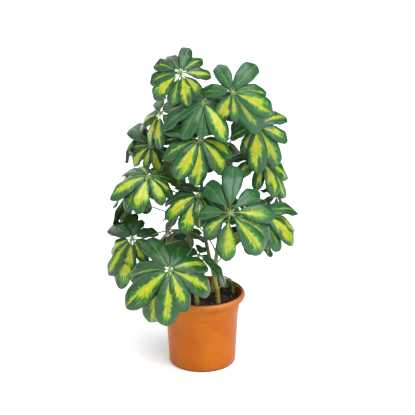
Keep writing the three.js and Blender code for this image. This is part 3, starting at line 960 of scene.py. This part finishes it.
def make_soil(finishes):
    points, faces = [], []
    for i in range(1, SOIL_RINGS + 1):
        radius = SOIL_RADIUS * i / SOIL_RINGS
        inward = max(0.0, 1 - radius / SOIL_RADIUS)
        points += [(x, y, soil_height(x, y, inward)) for x, y, _ in ring_points(radius, 0, SOIL_SIDES)]
    for radius, height in ((86, 134), (78.7, SOIL_FLOOR)):
        points += ring_points(radius, height, SOIL_SIDES)
    last = (SOIL_RINGS + 1) * SOIL_SIDES
    for low in range(0, last, SOIL_SIDES):
        high = low + SOIL_SIDES
        for k in range(SOIL_SIDES):
            j = (k + 1) % SOIL_SIDES
            faces.append((low + k, high + k, high + j, low + j))
    crown, foot = len(points), len(points) + 1
    points += [(0, 0, SOIL_LEVEL + SOIL_MOUND), (0, 0, SOIL_FLOOR)]
    for k in range(SOIL_SIDES):
        j = (k + 1) % SOIL_SIDES
        faces += [(crown, k, j), (foot, last + j, last + k)]
    soil = mesh_object("soil_bed", np.array(points) * MM, (), faces)
    dress(soil, crumb_tree(), finishes)
    place_piece(soil, "soil")


def hump(away, width):
    """1 in the middle, falling to 0 well outside this width."""
    return np.exp(-(away / width) ** 2)


def make_stem(name, tree, finish):
    """A stem that swells at the soil and at each ring, with a dark scar just under the ring."""
    line = stem_samples(name, 260)
    height = line[:, 2]
    radius = STEM_FOOT_RADIUS + (STEM_TIP_RADIUS - STEM_FOOT_RADIUS) * np.linspace(0, 1, len(line))
    radius += 0.9 * hump(height - SWELLING_HEIGHT, 9.0)
    scars = np.zeros(len(line))
    draw = random_from(len(name) * 31)
    rings = [leaf.foot for leaf in LEAVES[name]]
    count = int((height[-1] - FIRST_SCAR - LAST_SCAR_BELOW_TIP) / SCAR_SPACING)
    rings += [FIRST_SCAR + SCAR_SPACING * i + SCAR_STRAY * next(draw) for i in range(count)]
    for ring in rings:
        radius += 0.45 * hump(height - ring, 2.6)
        scars = np.maximum(scars, hump(height - ring + 1.8, 1.1))
    stem = mesh_object(f"{name}_stem_bark", line * MM, [(i, i + 1) for i in range(len(line) - 1)])
    store(stem, "radius", "FLOAT", radius * MM)
    store(stem, "scar", "FLOAT", scars)
    dress(stem, tree, {"Finish": finish})
    place_piece(stem, f"{name}_stem")


# What the leaf tree reads at each point of a leaf's ribs, with its type.
RIB_VALUES = {"across": "FLOAT_VECTOR", "out": "FLOAT_VECTOR", "root": "FLOAT", "blade": "INT",
              "length": "FLOAT", "yellow": "FLOAT", "phase": "FLOAT", "shade": "FLOAT", "start": "FLOAT"}


def make_leaf(stem, number, leaf, tree, finishes):
    """A leaf from its ribs, which carry the blades, and its rods, the lines of its stalks and midribs."""
    node = f"{stem}_leaf_{number}"
    draw = random_from(leaf.foot + 1000)
    # A leaf's shade value is partly its own tint, partly painted sheen or painted shade.
    own_shade = next(draw)
    leaf_shade = LEAF_TINT_SHEEN_AND_SHADE.get(node, 0.6 * own_shade)
    stored = {name: [] for name in RIB_VALUES}
    points, edges, lines = [], [], []
    for i, blade in enumerate(blades(leaf)):
        if node in YELLOW:
            yellow = YELLOW[node][i]
        else:
            # More yellow on the downhill side of the leaf.
            yellow = 0.42 + 0.45 * math.cos(blade["turn"]) + 0.5 * (next(draw) - 0.5)
        phase = next(draw)
        shade = 0.8 * leaf_shade + 0.2 * next(draw)
        start = BLADELET_STALK * (NEAREST_START + START_SPREAD * (3.7 * phase % 1))
        places, sides, outs = rib(leaf, blade)
        points += list(places)
        stored["across"] += list(sides)
        stored["out"] += list(outs)
        stored["root"] += [1.0] + [0.0] * RIB_STEPS
        values = {"blade": i, "length": blade["length"] * MM, "yellow": min(1.0, max(0.0, yellow)),
                  "phase": phase, "shade": shade, "start": start * MM}
        for name, value in values.items():
            stored[name] += [value] * (RIB_STEPS + 1)

        # The rod of each blade sinks from the rib to just under the blade, and stops before its tip.
        reached = np.arange(RIB_STEPS + 1) / RIB_STEPS * blade["reach"]
        on_blade = np.clip((reached - BLADELET_STALK) / blade["length"], 0, 1)
        thick = np.where(reached < BLADELET_STALK, BLADELET_STALK_RADIUS,
                         MIDRIB_RADIUS * (1 - on_blade) + MIDRIB_TIP_RADIUS)
        sunk = np.clip((reached - start + 2) / 5, 0, 1) * (thick + 0.75)
        keep = on_blade < 0.93
        lines.append(((places - outs * sunk[:, None])[keep], thick[keep]))
    lines.append(stalk_line(leaf, stem_point(stem, leaf.foot)))
    ribs = len(points)
    radius = [0.001] * ribs
    for line, thick in lines:
        edges += [(k, k + 1) for k in range(len(points), len(points) + len(line) - 1)]
        points += list(line)
        radius += list(thick * MM)
    made = mesh_object(f"{node}_fine", np.array(points) * MM, edges)
    for name, kind in RIB_VALUES.items():
        blank = (0, 0, 1) if kind == "FLOAT_VECTOR" else 0
        store(made, name, kind, stored[name] + [blank] * (len(points) - ribs))
    store(made, "radius", "FLOAT", radius)
    store(made, "hub", "FLOAT", [0.0] * (len(points) - 1) + [1.0])
    dress(made, tree, {**finishes, **FORM.get(node, {})})
    place_piece(made, node)


# Stage, camera and light

def make_stage():
    corners = [(FLOOR_REACH * x, FLOOR_REACH * y, 0) for x, y in ((-1, -1), (1, -1), (1, 1), (-1, 1))]
    floor = mesh_object("floor", corners, (), [(0, 1, 2, 3)])
    finish, _, _ = material("white floor", 0.9, Base_Color=(0.94, 0.94, 0.94, 1.0))
    floor.data.materials.append(finish)

    world = bpy.data.worlds.new("soft daylight")
    bpy.context.scene.world = world
    world.use_nodes = True
    sky = world.node_tree.nodes["Background"]
    sky.inputs["Color"].default_value = (0.88, 0.95, 1.0, 1.0)
    sky.inputs["Strength"].default_value = 0.04

    # Power, width of the light in degrees, tilt from straight down and turn to the right, and colour.
    lamps = {
        "key": (3.4, 75, 47, 42, (1.0, 0.97, 0.90)),
        "top": (2.8, 60, 16, 20, (0.82, 0.92, 1.0)),
        "back": (1.9, 80, 46, 200, (0.92, 0.97, 1.0)),
        "fill": (1.1, 60, 60, -60, (1.0, 0.98, 0.95)),
    }
    for name, (strength, width, tilt, turn, colour) in lamps.items():
        lamp = bpy.data.lights.new(name, "SUN")
        lamp.energy = strength
        lamp.angle = math.radians(width)
        lamp.color = colour
        made = bpy.data.objects.new(name, lamp)
        made.rotation_euler = (math.radians(tilt), 0.0, math.radians(turn))
        bpy.context.scene.collection.objects.link(made)

    camera = bpy.data.cameras.new("camera")
    camera.lens = CAMERA_LENS
    camera.sensor_width = 36.0
    made = bpy.data.objects.new("camera", camera)
    made.location = CAMERA_PLACE
    made.rotation_euler = (math.radians(90 - CAMERA_TILT), 0.0, 0.0)
    bpy.context.scene.collection.objects.link(made)
    bpy.context.scene.camera = made
    bpy.context.scene.view_settings.view_transform = "Standard"


make_stage()
grain = grain_group()
blade_finish = leaf_material(leaf_pattern_group(), grain)
stalk_finish = mottled_material("leaf stalk", grain, 0.45, (70.0, 5.0),
                                ((0.095, 0.160, 0.028), (0.170, 0.235, 0.055), (0.24, 0.26, 0.08)),
                                (0.0004, 0.5), flecks=0.3)
leaf_finishes = {"Blade Finish": blade_finish, "Stalk Finish": stalk_finish}
bark_finish = bark_material(grain)
make_pot(pot_material(grain))
soil = mottled_material("potting soil", grain, 0.95, (120.0, 6.0),
                        ((0.010, 0.0036, 0.0016), (0.038, 0.0150, 0.006), (0.080, 0.038, 0.016)),
                        (0.004, 1.0), flecks=0.35)
chips = mottled_material("bark chips", grain, 0.85, (300.0, 4.0),
                         ((0.050, 0.021, 0.009), (0.150, 0.070, 0.028)), (0.001, 0.8))
pale = mottled_material("perlite", grain, 0.9, (300.0, 4.0),
                        ((0.42, 0.39, 0.34), (0.66, 0.63, 0.58)), (0.001, 0.8))
make_soil({"Soil Finish": soil, "Chip Finish": chips, "Grain Finish": pale})
bark = bark_tree()
umbrella = leaf_tree()
for stem_name in STEMS:
    make_stem(stem_name, bark, bark_finish)
for stem_name, leaves in LEAVES.items():
    for count, one in enumerate(leaves, 1):
        make_leaf(stem_name, count, one, umbrella, leaf_finishes)
